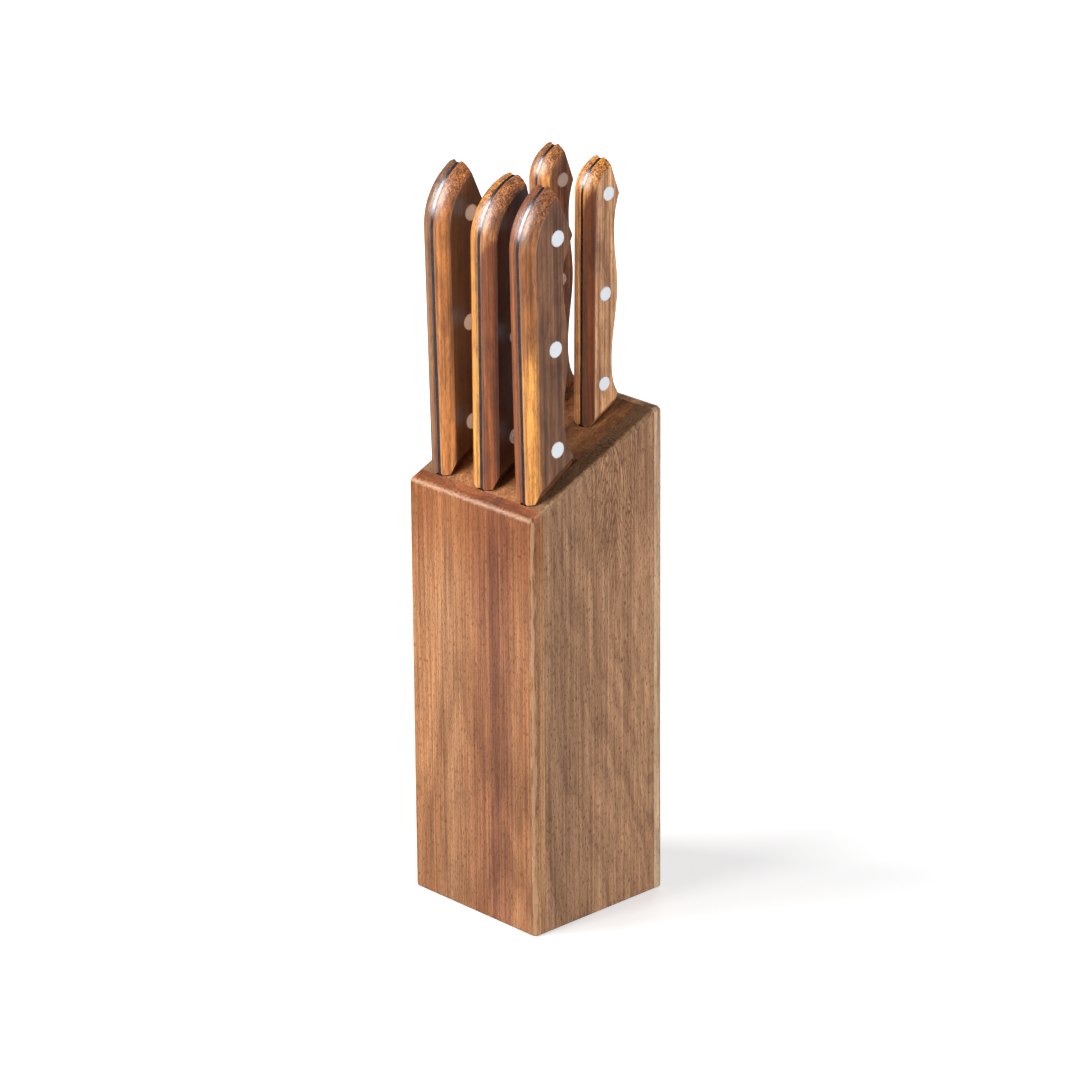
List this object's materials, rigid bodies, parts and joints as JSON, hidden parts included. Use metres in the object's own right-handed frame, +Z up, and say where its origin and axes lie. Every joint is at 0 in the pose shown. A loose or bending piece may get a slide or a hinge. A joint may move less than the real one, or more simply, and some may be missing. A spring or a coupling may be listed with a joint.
{
  "type": "knife block with knives",
  "caption": "Upright wooden block with a sloping top that holds full-tang kitchen knives with riveted wooden handles; each knife lifts out of its slot.",
  "frame": {"origin": "centre of the block's footprint, on the surface it stands on", "axes": "+Z up, -Y towards the low front face, +X to the right along that face"},
  "size_m": [0.075, 0.075, 0.323],
  "materials": {
    "front_wood": "oiled acacia, fine vertical grain with a dark red-brown streak",
    "core_wood": "oiled acacia, greyish brown, vertical grain; end grain on the top",
    "back_wood": "oiled acacia sapwood, pale",
    "handle_wood": "polished acacia, golden to red-brown, satin",
    "blade_steel": "satin ground",
    "rivet_aluminium": "fine ground flush"
  },
  "bodies": {
    "block": {"back_board": "back_wood", "bread_slot_spacer": "core_wood", "carving_slot_spacer": "core_wood", "chef_slot_spacer": "core_wood", "front_board": "front_wood", "left_inner_plank": "core_wood", "left_middle_plank": "core_wood", "left_side_plank": "core_wood", "paring_slot_spacer": "core_wood", "right_inner_plank": "core_wood", "right_middle_plank": "core_wood", "right_side_plank": "core_wood", "utility_slot_spacer": "core_wood"},
    "bread_knife": {"bread_blade": "blade_steel", "bread_left_scale": "handle_wood", "bread_right_scale": "handle_wood", "bread_rivets": "rivet_aluminium"},
    "chef_knife": {"chef_blade": "blade_steel", "chef_left_scale": "handle_wood", "chef_right_scale": "handle_wood", "chef_rivets": "rivet_aluminium"},
    "carving_knife": {"carving_blade": "blade_steel", "carving_left_scale": "handle_wood", "carving_right_scale": "handle_wood", "carving_rivets": "rivet_aluminium"},
    "utility_knife": {"utility_blade": "blade_steel", "utility_left_scale": "handle_wood", "utility_right_scale": "handle_wood", "utility_rivets": "rivet_aluminium"},
    "paring_knife": {"paring_blade": "blade_steel", "paring_left_scale": "handle_wood", "paring_right_scale": "handle_wood", "paring_rivets": "rivet_aluminium"}
  },
  "joints": [
    {"name": "bread_lift", "type": "slide", "parent": "block", "child": "bread_knife", "axis": [-0.0064, -0.0175, 0.9998], "range_m": [0, 0.199]},
    {"name": "chef_lift", "type": "slide", "parent": "block", "child": "chef_knife", "axis": [0, 0, 1], "range_m": [0, 0.203]},
    {"name": "carving_lift", "type": "slide", "parent": "block", "child": "carving_knife", "axis": [-0.0064, -0.0175, 0.9998], "range_m": [0, 0.198]},
    {"name": "utility_lift", "type": "slide", "parent": "block", "child": "utility_knife", "axis": [-0.0034, 0, 1], "range_m": [0, 0.142]},
    {"name": "paring_lift", "type": "slide", "parent": "block", "child": "paring_knife", "axis": [0.0124, 0, 0.9999], "range_m": [0, 0.107]}
  ]
}
